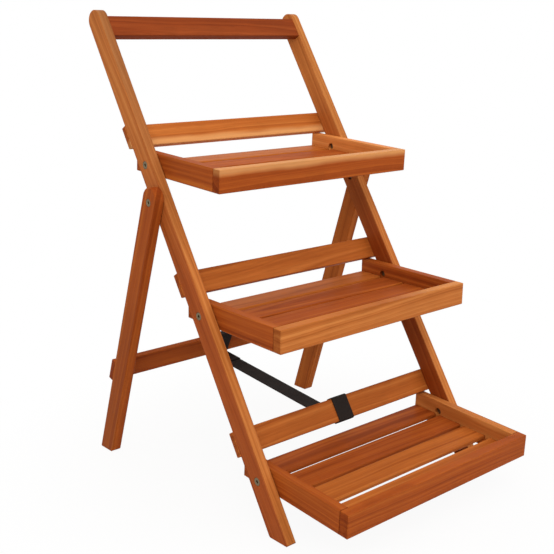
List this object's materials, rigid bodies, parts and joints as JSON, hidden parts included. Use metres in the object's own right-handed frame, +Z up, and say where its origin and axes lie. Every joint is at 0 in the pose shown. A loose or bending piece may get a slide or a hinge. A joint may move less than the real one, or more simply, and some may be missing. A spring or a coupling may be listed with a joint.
{
  "type": "tiered plant stand",
  "caption": "Folding tiered plant stand: a leaning ladder frame on hinged legs carries shallow slatted trays that swing on pivot bolts and are held open by stops and a strap.",
  "frame": {"origin": "on the floor, under the middle of the open stand's bounding box", "axes": "+X to the right across the stand, +Y to the back, +Z up; the lower tray is in front"},
  "size_m": [0.552, 0.6938, 0.8727],
  "materials": {
    "acacia": "oiled, satin",
    "zinc_steel": "yellow zinc plated",
    "webbing": "woven, dull"
  },
  "bodies": {
    "ladder": {"stile_left": "acacia", "stile_right": "acacia", "top_bar": "acacia", "rail_upper": "acacia", "rail_middle": "acacia", "rail_lower": "acacia", "rail_screws": "zinc_steel", "tray_pivot_bolts": "zinc_steel", "tray_pivot_nuts": "zinc_steel", "strap_ladder_loop": "webbing", "strap_span": "webbing"},
    "legs": {"leg_left": "acacia", "leg_right": "acacia", "leg_rail": "acacia", "leg_rail_screws": "zinc_steel", "leg_pivot_bolts": "zinc_steel", "leg_pivot_nuts": "zinc_steel", "strap_leg_loop": "webbing"},
    "upper_tray": {"upper_tray_side_left": "acacia", "upper_tray_side_right": "acacia", "upper_tray_front": "acacia", "upper_tray_slat_1": "acacia", "upper_tray_slat_2": "acacia", "upper_tray_slat_3": "acacia", "upper_tray_slat_4": "acacia", "upper_tray_cleat_left": "acacia", "upper_tray_cleat_right": "acacia"},
    "middle_tray": {"middle_tray_side_left": "acacia", "middle_tray_side_right": "acacia", "middle_tray_front": "acacia", "middle_tray_slat_1": "acacia", "middle_tray_slat_2": "acacia", "middle_tray_slat_3": "acacia", "middle_tray_slat_4": "acacia", "middle_tray_cleat_left": "acacia", "middle_tray_cleat_right": "acacia"},
    "lower_tray": {"lower_tray_side_left": "acacia", "lower_tray_side_right": "acacia", "lower_tray_front": "acacia", "lower_tray_slat_1": "acacia", "lower_tray_slat_2": "acacia", "lower_tray_slat_3": "acacia", "lower_tray_slat_4": "acacia", "lower_tray_cleat_left": "acacia", "lower_tray_cleat_right": "acacia"}
  },
  "joints": [
    {"name": "leg_fold", "type": "hinge", "parent": "ladder", "child": "legs", "pos_m": [0, 0.12555, 0.53046], "axis": [-1, 0, 0], "range_deg": [0, 49.5], "deforming": ["strap_span"]},
    {"name": "upper_tray_fold", "type": "hinge", "parent": "ladder", "child": "upper_tray", "pos_m": [0, 0.1645, 0.59279], "axis": [-1, 0, 0], "range_deg": [0, 123]},
    {"name": "middle_tray_fold", "type": "hinge", "parent": "ladder", "child": "middle_tray", "pos_m": [0, 0.00738, 0.34134], "axis": [-1, 0, 0], "range_deg": [0, 121]},
    {"name": "lower_tray_fold", "type": "hinge", "parent": "ladder", "child": "lower_tray", "pos_m": [0, -0.15107, 0.08778], "axis": [-1, 0, 0], "range_deg": [0, 123]}
  ]
}
